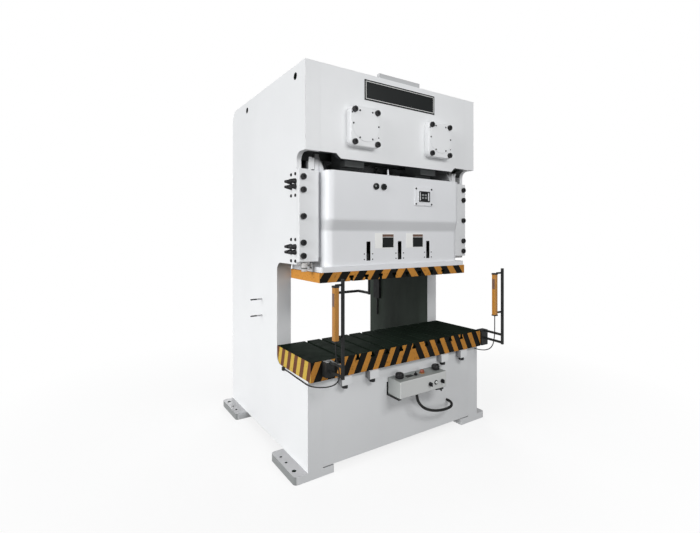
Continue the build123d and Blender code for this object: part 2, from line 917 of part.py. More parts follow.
def motor_pulley():
    """The flanged pulley on the motor shaft."""
    y0, y1 = belt_front_y - 10, belt_front_y + belt_width + 10
    flange = pulley_radius + belt_thickness + 4
    outline = (
        (motor_shaft_radius, y0),
        (flange, y0),
        (flange, y0 + 8),
        (pulley_radius, y0 + 8),
        (pulley_radius, y1 - 8),
        (flange, y1 - 8),
        (flange, y1),
        (motor_shaft_radius, y1),
    )
    return turned(outline, 0, motor_z)


def belt_loop(extra):
    """The flat shape bounded by a band round flywheel and pulley, extra outside their radii."""
    span = pinion_z - motor_z
    top, bottom = flywheel_radius + extra, pulley_radius + extra
    lean = (top - bottom) / span
    reach = sqrt(1 - lean**2)
    strip = Polygon(
        (-top * reach, pinion_z - top * lean),
        (-bottom * reach, motor_z - bottom * lean),
        (bottom * reach, motor_z - bottom * lean),
        (top * reach, pinion_z - top * lean),
        align=None,
    )
    return joined(Pos(0, pinion_z) * Circle(top), Pos(0, motor_z) * Circle(bottom), strip)


def drive_belts():
    """The banded drive belt, which runs on the flat flywheel rim and the flanged pulley."""
    face = belt_loop(rest_gap + belt_thickness) - belt_loop(rest_gap)
    return lengthwise(face, belt_front_y, belt_front_y + belt_width)


def motor():
    """The main motor: a finned body between two end shields, with feet, terminal box and shaft."""
    y1 = motor_back_y
    y0 = y1 - motor_length
    core = Circle(motor_radius - 14)
    for index in range(motor_fins):
        core += Rot(0, 0, index * 360 / motor_fins) * Pos(motor_radius - 14, 0) * Rectangle(28, 7)
    body = lengthwise(Pos(0, motor_z) * core, y0 + 40, y1 - 40)
    shields = joined(
        turned(((0, y0), (motor_radius - 30, y0), (motor_radius, y0 + 40), (0, y0 + 40)), 0, motor_z),
        turned(((0, y1), (motor_radius - 30, y1), (motor_radius, y1 - 40), (0, y1 - 40)), 0, motor_z),
    )
    shaft_end = belt_front_y + belt_width + 10
    shaft = round_bar(0, y1, motor_z, (0, 1, 0), shaft_end - y1, motor_shaft_radius - running_clearance)
    shelf_top = motor_z - motor_radius - 20
    feet = [
        block(side * 70, side * 150, y0 + 60, y1 - 60, shelf_top, shelf_top + 50) for side in sides.values()
    ]
    box = block(-60, 60, y0 + 90, y1 - 110, motor_z + motor_radius - 20, motor_z + motor_radius + 60)
    return joined(body, shields, shaft, *feet, box)


def motor_shelf():
    """The shelf between the side frames under the motor, with two ribs below it."""
    top_z = motor_z - motor_radius - 20
    y1 = motor_back_y
    y0 = y1 - motor_length
    shelf = block(-inner_x, inner_x, y0, y1, top_z - motor_shelf_thickness, top_z)
    for side in sides.values():
        shelf += block(side * 250, side * 280, y0 + 30, y1 - 30, top_z - 90, top_z)
    return shelf


def balance_cylinder(side):
    """A counterbalance cylinder held to the side frame by its bracket, hollow for its piston."""
    x = side * balance_x
    bottom, top = balance_bottom_z, balance_top_z
    barrel = round_bar(x, balance_y, bottom, (0, 0, 1), top - bottom, balance_radius)
    bracket = block(x, side * inner_x, balance_y - 40, balance_y + 40, bottom + 120, top - 60)
    bore = round_bar(x, balance_y, bottom + 20, (0, 0, 1), top - bottom - 40, balance_bore)
    gland = round_bar(
        x, balance_y, bottom, (0, 0, 1), 30, balance_rod_radius + running_clearance
    )
    return joined(barrel, bracket) - bore - gland


def balance_rod(side):
    """The counterbalance piston and rod, standing on the top of the slide's rail."""
    x = side * balance_x
    piston_top = balance_top_z - 30
    rod = round_bar(x, balance_y, rail_top_z, (0, 0, 1), piston_top - rail_top_z, balance_rod_radius)
    piston = round_bar(
        x, balance_y, piston_top - 40, (0, 0, 1), 40, balance_bore - running_clearance
    )
    return rod + piston


def indicator_plate():
    """The plate of the slide height indicator, with its raised window frame."""
    x, z = 260, 2192
    plate = block(x - 106, x + 106, slide_front_y - 10, slide_front_y, z - 85, z + 85)
    plate = chamfer(plate.edges().group_by(Axis.Y)[0], 3)
    frame = block(x - 68, x + 68, slide_front_y - 18, slide_front_y - 10, z - 48, z + 48)
    window = block(x - 47, x + 47, slide_front_y - 18, slide_front_y - 13, z - 37, z + 37)
    return plate + frame - window


def slide_gauge(x):
    """A round gauge on the slide's front, with a raised ring."""
    y = slide_front_y
    z = 2252
    outline = ((0, y), (27, y), (27, y - 14), (21, y - 14), (21, y - 8), (0, y - 8))
    return turned(outline, x, z)


def oil_cup():
    """The drip cup on its angle bracket under the left gib housing."""
    x, y = -(side_x - 55), gib_seat_y - 26
    cup_bottom, cup_top = 1556, 1622
    cup = round_bar(x, y, cup_bottom, (0, 0, 1), cup_top - cup_bottom, 24)
    cup -= round_bar(x, y, cup_bottom + 5, (0, 0, 1), cup_top - cup_bottom, 20)
    strap = joined(
        block(x + 10, x + 66, y - 3, y + 3, cup_bottom + 10, cup_bottom + 20),
        block(x + 60, x + 66, y - 3, gib_seat_y, cup_bottom + 10, gib_bottom_z - 2),
    )
    return cup + (strap - round_bar(x, y, cup_bottom + 5, (0, 0, 1), 40, 20))


def rear_arm():
    """The dark angle arm behind the right side frame, on a plate inside the frame's rear skin."""
    x, z = side_x - rear_skin, 1046
    plate = block(x - 50, x, back_y - 25, back_y, z, z + 420)
    arm = block(x - 28, x - 4, back_y, back_y + 277, z, z + 34)
    hand = block(x - 344, x - 4, back_y + 253, back_y + 277, z, z + 34)
    return joined(plate, arm, hand)


def junction_box():
    """The dark junction box and its drop pipe on the right side frame's inner wall."""
    x, y, z = inner_x, 573, 1046
    pipe_bottom_z = 840
    box = block(x - 30, x, y - 56, y + 57, z, z + 244)
    return box + plain_bar(x - 12, y, pipe_bottom_z, (0, 0, 1), z - pipe_bottom_z, 9)


def light_curtain(side):
    """One upright light curtain bar with bevelled edges."""
    place = Pos(curtain_xs[side], curtain_y)
    face = chamfer((place * Rectangle(curtain_width, curtain_width)).vertices(), 5)
    return upright(face, curtain_bottom_z, curtain_top_z)


def straight_bar(start, end, thickness, height):
    """A flat bar on edge from one point to another at one height."""
    run = hypot(end[0] - start[0], end[1] - start[1])
    angle = degrees(atan2(end[1] - start[1], end[0] - start[0]))
    middle = [(a + b) / 2 for a, b in zip(start, end)]
    return Pos(*middle) * Rot(0, 0, angle) * Box(run, thickness, height)


def curtain_bracket(side):
    """The mounting block, two arms, the post and the two straps of a light curtain."""
    if side == "left":
        body = block(-850, -780, bolster_front_y - 60, bolster_front_y, bed_top_z + 35, bolster_top_z)
        foot = (-815, bolster_front_y - 60)
        body += block(-side_x - 20, -side_x, -475, -450, 722, 750)
    else:
        body = block(side_x, side_x + 90, -935, -870, bed_top_z + 7, bolster_top_z + 5)
        foot = (995, -935)
    post = (post_xs[side], post_ys[side])
    bar_x = curtain_xs[side]
    for z in arm_heights:
        body += straight_bar((foot[0], foot[1] + 4, z), (*post, z), arm_thickness, arm_height)
    body += upright(Pos(*post) * Rectangle(post_size, post_size), post_bottom_z, post_top_z)
    strap_z = curtain_bottom_z + 24
    strap = (post[1] - 2, post[1] + 8)
    body += block(bar_x + curtain_width / 2, post[0], *strap, strap_z, strap_z + clamp_strap_height)
    body += block(bar_x, post[0], *strap, curtain_top_z, curtain_top_z + clamp_strap_height)
    return body


def tube(name, points, radius):
    """A cord along straight runs joined by tangent arcs as large as the runs allow."""
    nodes = [Vector(*point) for point in points]
    runs = [end - start for start, end in zip(nodes, nodes[1:])]
    radii = []
    for before, after in zip(runs, runs[1:]):
        turn = before.get_angle(after)
        shorter = min(before.length, after.length)
        radii.append(0.45 * shorter / tan(radians(turn / 2)))
    path = FilletPolyline(*points, radius=radii)
    section = Plane(origin=points[0], z_dir=runs[0]) * RegularPolygon(radius, cord_sides)
    cord = sweep(section, path=path)
    print(name, "length", round(path.length), "radii", [round(value) for value in radii])
    print(name, "volume against section times length", round(cord.volume / (section.area * path.length), 4))
    write(name, cord)


def cable_route(side):
    """The route of a light curtain's cable from the bar's foot to the press."""
    x = curtain_xs[side]
    if side == "right":
        return (
            (x, curtain_y, curtain_bottom_z),
            (x, curtain_y, 1000),
            (x + 4, curtain_y + 4, 890),
            (x + 9, curtain_y + 25, 800),
            (x + 17, curtain_y + 75, 745),
            (915, front_y - 85, 715),
            (915, front_y, 715),
        )
    wall_x = -side_x - 10
    return (
        (x, curtain_y, curtain_bottom_z),
        (x, curtain_y, 1010),
        (x + 10, curtain_y - 4, 935),
        (x + 29, curtain_y - 5, 868),
        (x + 38, curtain_y + 10, 805),
        (x + 22, curtain_y + 45, 760),
        (x - 18, curtain_y + 90, 738),
        (x - 63, curtain_y + 150, 728),
        (wall_x - 2, -905, 725),
        (wall_x, -805, 728),
        (wall_x - 2, -705, 730),
        (wall_x, -615, 733),
        (wall_x - 1, -540, 736),
        (wall_x - 1, -475, 736),
    )


def conduit_route():
    """The route of the console's conduit, from under the console in a loop into the base plate."""
    return (
        (40, front_y - 110, console_bottom_z),
        (40, front_y - 110, console_bottom_z - 60),
        (85, front_y - 110, console_bottom_z - 131),
        (163, front_y - 110, console_bottom_z - 185),
        (268, front_y - 111, console_bottom_z - 219),
        (378, front_y - 111, console_bottom_z - 233),
        (458, front_y - 111, console_bottom_z - 227),
        (498, front_y - 87, console_bottom_z - 217),
        (520, front_y - 46, console_bottom_z - 209),
        (520, front_y, console_bottom_z - 209),
    )


def console_box():
    """The console's sheet metal box, with rounded edges and holes for its buttons and knobs."""
    left = console_centre_x - console_width / 2
    body = block(
        left, left + console_width, console_front_y, console_back_y, console_bottom_z, console_top_z
    )
    body = fillet(body.edges().filter_by(Axis.Z) + body.edges().filter_by(Axis.X), console_radius)
    for x, radius in palm_places() + [(stop_x, stop_radius)]:
        stem = radius * 0.4 + button_gap
        body -= round_bar(x, console_middle_y, console_top_z, (0, 0, -1), 30, stem)
    for x in knob_xs:
        body -= round_bar(x, console_front_y, knob_z, (0, 1, 0), 20, knob_radius * 0.5 + button_gap)
    return body


def palm_places():
    """X and radius of the two palm buttons."""
    middle = console_centre_x + 3
    return [(middle + side * palm_spacing / 2, palm_radius) for side in sides.values()]


def push_button(x, radius, height):
    """A mushroom button with its stem in the console's top, standing its travel above the top."""
    z = console_top_z
    y = console_middle_y
    outline = (
        (0, z - 20),
        (radius * 0.4, z - 20),
        (radius * 0.4, z + palm_travel + 2),
        (radius, z + palm_travel + 2),
        (radius, z + height * 0.7),
        (radius * 0.8, z + height),
        (0, z + height),
    )
    return Pos(x, y) * revolve(Plane.XZ * Polygon(*outline, align=None), Axis.Z)


def selector_knob(x):
    """A rotary knob on the console's front with a grip bar across it."""
    y = console_front_y
    base = round_bar(x, y - 1, knob_z, (0, -1, 0), 12, knob_radius)
    stem = round_bar(x, y + 15, knob_z, (0, -1, 0), 20, knob_radius * 0.5)
    grip = block(x - 5, x + 5, y - 30, y - 10, knob_z - knob_radius + 2, knob_z + knob_radius - 2)
    return joined(base, stem, grip)


def console_bracket():
    """The dark bracket behind and under the console: a back plate with two shelf bars."""
    left = console_centre_x - console_width / 2
    right = left + console_width
    plate = block(left - 10, right - 30, front_y, console_back_y, console_bottom_z - 14, console_top_z - 42)
    for x0, x1 in ((left - 10, left + 18), (right - 90, right - 60)):
        plate += block(x0, x1, console_front_y + 12, console_back_y, console_bottom_z - 14, console_bottom_z)
    return plate


for name, side in sides.items():
    write(f"frame_{name}", side_frame(side))
    write(f"gib_housing_{name}", gib_housing(side))
    write(f"bearing_cover_{name}", bearing_cover(side))
    write(f"crankshaft_{name}", crankshaft(side))
    write(f"con_rod_{name}", con_rod(side))
    write(f"rod_screw_{name}", rod_screw(side))
    write(f"main_gear_{name}", main_gear(side))
    write(f"light_curtain_{name}", light_curtain(name))
    tube(f"curtain_cable_{name}", cable_route(name), cable_radius)

write("crown_front", crown_front())
write("crown_shell", crown_shell())
write("gear_case", gear_case())
write("drive_wall", drive_wall())
base_plates()
write("bolster", bolster())
write("bolster_clamps", *[clamp_block(x) for x in clamp_xs])
write("socket_bolts", *socket_bolts())
write("gib_liners", *[gib_liner(side) for side in sides.values()])
write(
    "gib_adjusters",
    *[gib_adjuster(side, y, z) for side in sides.values() for y in adjuster_ys for z in adjuster_heights],
)
write("shaft_bushes", *shaft_bushes())
write("balance_cylinders", *[balance_cylinder(side) for side in sides.values()])
write("balance_rods", *[balance_rod(side) for side in sides.values()])
write("curtain_brackets", *[curtain_bracket(name) for name in sides])
write("slide_body", slide_body())
write("slide_plate", slide_plate())
write("overload_cylinders", *[overload_cylinder(side) for side in sides.values()])
write("adjust_motor", adjust_motor())
write("indicator_plate", indicator_plate())
write("slide_gauges", *[slide_gauge(x) for x in (-283, -201)])
for name, x in zip(("left", "middle", "right"), knockout_xs):
    write(f"knockout_bar_{name}", knockout_bar(x))
write("pinion_shaft", pinion_shaft())
write("flywheel", flywheel())
write("motor_pulley", motor_pulley())
write("drive_belts", drive_belts())
write("motor", motor())
write("motor_shelf", motor_shelf())
write("oil_cup", oil_cup())
write("rear_arm", rear_arm())
write("junction_box", junction_box())
write("console_box", console_box())
write("console_bracket", console_bracket())
for name, (x, radius) in zip(sides, palm_places()):
    write(f"palm_button_{name}", push_button(x, radius, palm_height))
write("stop_button", push_button(stop_x, stop_radius, stop_height))
for name, x in zip(sides, knob_xs):
    write(f"selector_{name}", selector_knob(x))
tube("console_conduit", conduit_route(), conduit_radius)
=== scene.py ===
"""The looks of a C-frame mechanical stamping press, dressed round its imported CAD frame. Metres, +Z up."""

import bmesh
import bpy
from math import cos, pi, radians, sin
from mathutils import Matrix, Vector


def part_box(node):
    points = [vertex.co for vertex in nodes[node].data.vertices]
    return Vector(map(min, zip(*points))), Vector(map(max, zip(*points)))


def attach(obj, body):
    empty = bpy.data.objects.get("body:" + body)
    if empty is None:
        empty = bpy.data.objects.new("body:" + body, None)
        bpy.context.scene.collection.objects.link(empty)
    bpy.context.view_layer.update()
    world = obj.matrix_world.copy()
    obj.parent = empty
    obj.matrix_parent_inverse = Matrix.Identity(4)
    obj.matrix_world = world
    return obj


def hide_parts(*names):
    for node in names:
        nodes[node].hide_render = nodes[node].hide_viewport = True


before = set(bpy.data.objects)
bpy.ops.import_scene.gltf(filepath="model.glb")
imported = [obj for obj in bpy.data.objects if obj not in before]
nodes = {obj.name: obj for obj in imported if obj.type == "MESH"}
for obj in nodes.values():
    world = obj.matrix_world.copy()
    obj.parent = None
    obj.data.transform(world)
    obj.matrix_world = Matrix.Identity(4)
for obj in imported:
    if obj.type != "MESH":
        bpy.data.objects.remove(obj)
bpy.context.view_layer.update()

# Photograph and camera
photo_width = 700
focal_pixels = 417
horizon_pixels = 31.5
sensor_width = 36
camera_place = (-2.413, -3.641, 1.842)
camera_azimuth = radians(33.64)

# Colours, as linear values
white = (0.80, 0.81, 0.82)
# The next five colours are painted shade: for the frame's inner faces, its windows and holes, the crown's
# underside, the console's top and left side, and the clamps' left sides
painted_inner_shade = (0.042, 0.054, 0.044)
painted_recess_shade = (0.004, 0.005, 0.005)
crown_painted_shade = (0.035, 0.037, 0.042)
console_painted_shade = (0.28, 0.30, 0.29)
clamp_side_shade = (0.22, 0.22, 0.23)
cup_dark = (0.03, 0.03, 0.03)
# Painted shade on the tops and the rounded corners of the feet
foot_top_shade = (0.50, 0.50, 0.51)
foot_edge_shade = (0.22, 0.23, 0.23)
bed_dark = (0.009, 0.014, 0.010)
stripe_orange = (0.60, 0.265, 0.050)
stripe_yellow = (0.56, 0.385, 0.070)
stripe_brown = (0.13, 0.050, 0.025)
stripe_black = (0.005, 0.005, 0.004)
curtain_orange = (0.42, 0.180, 0.022)
black = (0.011, 0.012, 0.012)
label_red = (0.15, 0.080, 0.055)
floor_dim = (0.12, 0.12, 0.12)

# A mask on a piece ends this far beyond the face it stops at
hair = 0.0005

# Faces of the CAD frame that the masks follow
frame_top = 3.179
foot_top = 0.06
inner_side = 0.82
bolster_top = 0.895


def shade(colour, share):
    return tuple(channel * share for channel in colour)


class Shader:
    """A small helper that adds nodes to one material and links them."""

    def __init__(self, name):
        self.material = bpy.data.materials.new(name)
        self.material.use_nodes = True
        self.tree = self.material.node_tree
        self.surface = self.tree.nodes["Principled BSDF"]
        self.place = self.add("ShaderNodeTexCoord").outputs["Object"]

    def add(self, kind, **values):
        node = self.tree.nodes.new(kind)
        for key, value in values.items():
            setattr(node, key, value)
        return node

    def link(self, value, socket):
        """Feed a socket from another node's output or from a plain value."""
        if isinstance(value, bpy.types.NodeSocket):
            self.tree.links.new(value, socket)
        elif isinstance(value, tuple) and socket.type == "RGBA":
            socket.default_value = (*value, 1)
        else:
            socket.default_value = value

    def maths(self, operation, *values):
        node = self.add("ShaderNodeMath", operation=operation)
        for socket, value in zip(node.inputs, values):
            self.link(value, socket)
        return node.outputs[0]

    def mix(self, factor, low, high):
        node = self.add("ShaderNodeMix", data_type="RGBA")
        self.link(factor, node.inputs["Factor"])
        self.link(low, node.inputs["A"])
        self.link(high, node.inputs["B"])
        return node.outputs["Result"]

    def noise(self, scale, detail=4.0, stretch=(1, 1, 1)):
        mapping = self.add("ShaderNodeMapping")
        self.link(self.place, mapping.inputs["Vector"])
        mapping.inputs["Scale"].default_value = stretch
        node = self.add("ShaderNodeTexNoise")
        self.link(mapping.outputs["Vector"], node.inputs["Vector"])
        node.inputs["Scale"].default_value = scale
        node.inputs["Detail"].default_value = detail
        return node.outputs["Fac"]

    def between(self, value, low, high, to_low=0.0, to_high=1.0):
        """Map value from low..high to to_low..to_high, held at both ends."""
        node = self.add("ShaderNodeMapRange")
        self.link(value, node.inputs["Value"])
        for key, number in (
            ("From Min", low),
            ("From Max", high),
            ("To Min", to_low),
            ("To Max", to_high),
        ):
            node.inputs[key].default_value = number
        return node.outputs["Result"]

    def uneven(self, scale, to_low=0.0, to_high=1.0, detail=4.0):
        """Soft patches of noise that run from to_low to to_high."""
        return self.between(self.noise(scale, detail), 0.3, 0.7, to_low, to_high)

    def axes(self, vector):
        """The X, Y and Z of a vector."""
        node = self.add("ShaderNodeSeparateXYZ")
        self.link(vector, node.inputs[0])
        return node.outputs

    def face_normal(self):
        """The X, Y and Z of the direction that a face looks in."""
        geometry = self.add("ShaderNodeNewGeometry")
        return self.axes(geometry.outputs["True Normal"])

    def below(self, value, limit):
        return self.maths("LESS_THAN", value, limit)

    def above(self, value, limit):
        return self.maths("GREATER_THAN", value, limit)

    def within(self, value, low, high):
        """1 where value lies between low and high, else 0."""
        return self.both(self.above(value, low), self.below(value, high))

    def size(self, value):
        """The value without its sign."""
        return self.maths("ABSOLUTE", value)

    def both(self, *masks):
        """The product of masks and shares: 1 where all are 1."""
        result = masks[0]
        for mask in masks[1:]:
            result = self.maths("MULTIPLY", result, mask)
        return result

    def either(self, *masks):
        """The largest of the masks: 1 where any is 1."""
        result = masks[0]
        for mask in masks[1:]:
            result = self.maths("MAXIMUM", result, mask)
        return result

    def facing(self, side):
        """1 on faces that look along an axis, such as "-x", else 0."""
        part = self.face_normal()["xyz".index(side[1])]
        sign = -1.0 if side[0] == "-" else 1.0
        return self.above(self.both(part, sign), 0.85)

    def bump(self, height, strength, distance, soft_edge=0.0):
        node = self.add("ShaderNodeBump")
        node.inputs["Strength"].default_value = strength
        node.inputs["Distance"].default_value = distance
        self.link(height, node.inputs["Height"])
        if soft_edge:
            bevel = self.add("ShaderNodeBevel", samples=4)
            bevel.inputs["Radius"].default_value = soft_edge
            self.link(bevel.outputs["Normal"], node.inputs["Normal"])
        self.link(node.outputs["Normal"], self.surface.inputs["Normal"])

    def finish(self, colour, roughness, metallic=0.0, shine=0.5):
        """Set the surface and give back the finished material."""
        self.link(colour, self.surface.inputs["Base Color"])
        self.link(roughness, self.surface.inputs["Roughness"])
        self.surface.inputs["Metallic"].default_value = metallic
        self.link(shine, self.surface.inputs["Specular IOR Level"])
        return self.material


# Materials


def paint(name, colour, roughness=0.42, mottle=0.04, soft_edge=0.003, patch=None, shine=0.5):
    """Sprayed paint: a slight change of tone, fine orange peel and soft edges.

    patch is a pair: a function that gives the mask of a second colour, and that colour.
    """
    shader = Shader(name)
    coat = shader.mix(shader.uneven(2.2), shade(colour, 1 - mottle), colour)
    if patch:
        mask, second = patch
        coat = shader.mix(mask(shader), coat, second)
    gloss = shader.uneven(30.0, roughness - 0.05, roughness + 0.05)
    shader.bump(shader.noise(420.0, 2.0), 0.06, 0.0006, soft_edge)
    return shader.finish(coat, gloss, shine=shine)


def slide_shade(shader):
    """Painted shade: in full on the walls of the knock-out slots, fainter on the sloped step and as a painted
    shadow of the crown on the tops of the guides.
    """
    x, y, z = shader.axes(shader.place)
    off = shader.size(x)
    middle_slot = shader.below(off, 0.0207)
    outer_slots = shader.within(off, 0.3213, 0.3627)
    slots = shader.both(shader.either(middle_slot, outer_slots), shader.within(z, 1.6265, 1.7875))
    step_foot = shader.between(z, 1.862, 1.892)
    step_top = shader.between(z, 1.985, 1.945)
    step = shader.both(step_foot, step_top, shader.below(y, -0.70))
    guide_top_shadow = shader.both(shader.between(z, 2.39, 2.46), shader.above(off, 0.70))
    return shader.either(slots, shader.both(step, 0.22), shader.both(guide_top_shadow, 0.75))


def crown_shade(shader):
    """Painted shade: in full on the underside and the sloped lip of the crown, fainter on the upright faces
    of the rib on top.
    """
    down = shader.below(shader.face_normal()[2], -0.2)
    rib = shader.above(shader.axes(shader.place)[2], frame_top + hair)
    upright = shader.maths("SUBTRACT", 1.0, shader.facing("+z"))
    return shader.either(down, shader.both(rib, upright, 0.4))


def console_shade(shader):
    """Painted shade: in full on the top of the console, fainter on its left side."""
    return shader.either(shader.facing("+z"), shader.both(shader.facing("-x"), 0.7))


# Painted shade on the left sides of the bolster clamps
def clamp_left_shade(shader):
    return shader.facing("-x")


def peg_tip(shader):
    return shader.below(shader.axes(shader.place)[0], -1.003)


def cup_ring(shader):
    """A dark ring round the oil cup and its dark neck."""
    low, high = (corner[2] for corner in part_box("oil_cup"))
    z = shader.axes(shader.place)[2]
    height = high - low
    ring = shader.within(z, low + 0.28 * height, low + 0.40 * height)
    return shader.either(ring, shader.above(z, low + 0.92 * height))


def frame_paint(name):
    """White paint outside, with painted shade on the inner faces, in the windows and in the holes."""
    shader = Shader(name)
    x, y, z = shader.axes(shader.place)
    off = shader.size(x)
    normal = shader.face_normal()
    across = shader.size(normal[0])
    upright = shader.below(shader.size(normal[2]), 0.5)

    # Faces with painted shade: the inner faces, the windows and the holes
    inside = shader.both(
        shader.above(across, 0.9),
        shader.below(off, inner_side + hair),
        shader.above(z, foot_top + hair),
    )
    window = shader.both(
        shader.below(off, 0.91 - hair),
        shader.within(y, -0.80, -0.40 + hair),
        shader.within(z, 2.37 - hair, 2.49 + hair),
    )
    end_block = shader.both(
        shader.below(off, 0.845 + hair),
        shader.below(y, -0.64 + hair),
        shader.below(z, 2.464 + hair),
    )
    window = shader.maths("SUBTRACT", window, shader.both(window, end_block))
    lifting_holes = shader.both(
        shader.below(across, 0.5),
        shader.within(z, 3.064, 3.126),
        shader.within(y, -0.70, 0.46),
    )
    foot_bores = shader.both(
        shader.within(off, 0.999, 1.041),
        shader.within(shader.size(y), 0.52, 0.81),
        shader.below(z, foot_top - hair),
    )
    dark = shader.either(inside, window, lifting_holes, foot_bores)
    # Painted shade for the inner faces, mottled at random
    shade_mottle = shader.between(shader.noise(5.0, 8.0, (1, 1, 0.25)), 0.35, 0.75)
    wall = shader.mix(shade_mottle, painted_inner_shade, shade(painted_inner_shade, 1.7))

    # White faces, a little darker near the floor, with painted shade on the tops and rounded corners of the
    # feet and at the top of the throat
    clean = shader.mix(shader.uneven(1.6), shade(white, 0.965), white)
    clean = shader.mix(shader.between(z, foot_top, 0.22, 0.93, 1.0), shade(white, 0.8), clean)
    foot = shader.below(z, foot_top + 3 * hair)
    clean = shader.mix(shader.both(shader.facing("+z"), foot), clean, foot_top_shade)
    foot_edges = shader.both(upright, foot, shader.between(across, 0.1, 0.6), shader.above(off, 0.96))
    clean = shader.mix(foot_edges, clean, foot_edge_shade)
    throat = shader.both(
        shader.between(z, 1.45, 1.60),
        shader.within(y, -0.395, -0.30),
        shader.below(across, 0.9),
    )
    clean = shader.mix(shader.both(throat, 0.7), clean, painted_inner_shade)

    shader.bump(shader.noise(380.0, 2.0), 0.06, 0.0006, 0.003)
    # Painted shade over the white paint, darkest in the windows
    coat = shader.mix(window, shader.mix(dark, clean, wall), painted_recess_shade)
    shine = shader.between(dark, 0.0, 1.0, 0.5, 0.12)
    return shader.finish(coat, shader.uneven(25.0, 0.38, 0.48), shine=shine)


def metal(name, colour, roughness, brushed=(1, 1, 1)):
    """Bare metal with fine machining marks and faint stains."""
    shader = Shader(name)
    stain = shader.between(shader.noise(9.0, 6.0), 0.35, 0.7)
    marks = shader.noise(260.0, 3.0, brushed)
    gloss = shader.between(marks, 0.3, 0.7, roughness - 0.08, roughness + 0.1)
    shader.bump(marks, 0.08, 0.0005, 0.0015)
    return shader.finish(shader.mix(stain, shade(colour, 0.78), colour), gloss, metallic=1.0)


def dark_coat(name, colour, roughness=0.5, grain=300.0, bump=0.12):
    """Black oxide, powder coat, rubber or plastic with a fine grain and paler worn patches."""
    shader = Shader(name)
    worn = shader.between(shader.noise(14.0, 7.0), 0.52, 0.75)
    paler = tuple(channel * 2.2 + 0.004 for channel in colour)
    gloss = shader.uneven(40.0, roughness - 0.08, roughness + 0.08)
    shader.bump(shader.noise(grain, 3.0), bump, 0.0006, 0.0015)
    return shader.finish(shader.mix(worn, colour, paler), gloss, shine=0.25)


def stripe_mask(shader, x, z, middle, period, lean, base_z, start, stretch, share):
    """1 on the orange stripes of a front face that lean away from a middle line, else 0.

    The second result is how far a point lies beyond the middle line, along the stripes' slope.
    """
    right = shader.maths("SUBTRACT", x, middle)
    off = shader.either(shader.both(right, stretch), shader.both(right, -1.0))
    rise = shader.both(shader.maths("SUBTRACT", z, base_z), lean)
    along = shader.maths("ADD", off, rise)
    turn = shader.maths("FRACT", shader.maths("DIVIDE", shader.maths("SUBTRACT", along, start), period))
    return shader.below(turn, share), along


def striped_plate(name, node, filled_middle, end_colours, **stripes):
    """Dark plate with hazard stripes on its front and another pattern on its left and right ends."""
    end_lean, end_start, end_period, end_reach = 0.27, 0.88275, 0.115, 0.8
    front_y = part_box(node)[0][1]
    shader = Shader(name)
    x, y, z = shader.axes(shader.place)
    chips = shader.between(shader.noise(55.0, 9.0), 0.60, 0.66)
    body = shader.mix(shader.between(shader.noise(6.0, 8.0), 0.3, 0.75), bed_dark, shade(bed_dark, 1.6))
    stripe, along = stripe_mask(shader, x, z, **stripes)
    if filled_middle:
        stripe = shader.either(stripe, shader.below(along, 0.0))
    orange = shader.mix(shader.noise(12.0, 6.0), shade(stripe_orange, 0.72), stripe_orange)
    front = shader.mix(stripe, stripe_black, orange)
    front = shader.mix(shader.both(chips, 0.35), front, stripe_black)
    on_front = shader.both(shader.facing("-y"), shader.below(y, front_y + 2 * hair))
    lean = shader.maths("ADD", y, shader.both(shader.maths("SUBTRACT", z, bolster_top), end_lean))
    turn = shader.maths("FRACT", shader.maths("DIVIDE", shader.maths("ADD", lean, end_start), end_period))
    ends = shader.mix(shader.below(turn, 0.5), *end_colours)
    ends = shader.mix(shader.both(chips, 0.5), ends, stripe_brown)
    on_ends = shader.either(shader.facing("-x"), shader.facing("+x"))
    colour = shader.mix(on_front, body, front)
    colour = shader.mix(shader.both(on_ends, shader.above(shader.size(x), end_reach)), colour, ends)
    shader.bump(shader.noise(200.0, 4.0), 0.12, 0.0006, 0.0025)
    shine = shader.between(shader.either(on_front, on_ends), 0.0, 1.0, 0.002, 0.1)
    return shader.finish(colour, shader.uneven(18.0, 0.50, 0.65, 6.0), shine=shine)


frame_white = frame_paint("frame white")
plate_white = paint("plate white", white)
crown_white = paint("crown white", white, patch=(crown_shade, crown_painted_shade))
# The slide's second colour, black, is painted shade
slide_white = paint("slide white", (0.78, 0.79, 0.81), 0.36, patch=(slide_shade, stripe_black))
console_grey = paint("console grey", (0.63, 0.64, 0.63), 0.45, patch=(console_shade, console_painted_shade))
clamp_white = paint("clamp white", white, patch=(clamp_left_shade, clamp_side_shade))
cylinder_grey = paint("cylinder grey", (0.62, 0.63, 0.62), 0.45)
cup_grey = paint("oil cup grey", (0.50, 0.49, 0.48), 0.35, patch=(cup_ring, cup_dark))
steel = metal("ground steel", (0.55, 0.56, 0.58), 0.32, (1, 1, 8))
cast = paint("cast grey paint", (0.16, 0.17, 0.17), 0.6, 0.15)
housing = paint("housing grey paint", (0.045, 0.050, 0.048), 0.6, 0.15, shine=0.25)
bronze = metal("bearing bronze", (0.55, 0.36, 0.15), 0.4)
peg_grey = paint("peg grey", (0.46, 0.46, 0.47), 0.4, 0.1, 0.0005, patch=(peg_tip, black))
motor_blue = paint("motor paint", (0.07, 0.11, 0.15), 0.5, 0.1)
black_coat = dark_coat("black coat", black)
bolt_black = dark_coat("bolt black", (0.012, 0.012, 0.013), 0.45)
rubber = dark_coat("black rubber", (0.012, 0.012, 0.012), 0.62, 500.0, 0.2)
plastic = dark_coat("black plastic", (0.007, 0.007, 0.008), 0.4)
red_plastic = paint("red plastic", (0.30, 0.075, 0.04), 0.3, 0.1, 0.001)
signal = paint("curtain orange", curtain_orange, 0.4, 0.12)
screen = paint("dark glass", (0.010, 0.012, 0.013), 0.12, 0.2, 0.0005)
label_white = paint("label white", (0.88, 0.88, 0.86), 0.4, 0.03, 0.0005)
label_grey = paint("label grey", (0.26, 0.27, 0.27), 0.4, 0.1, 0.0005)
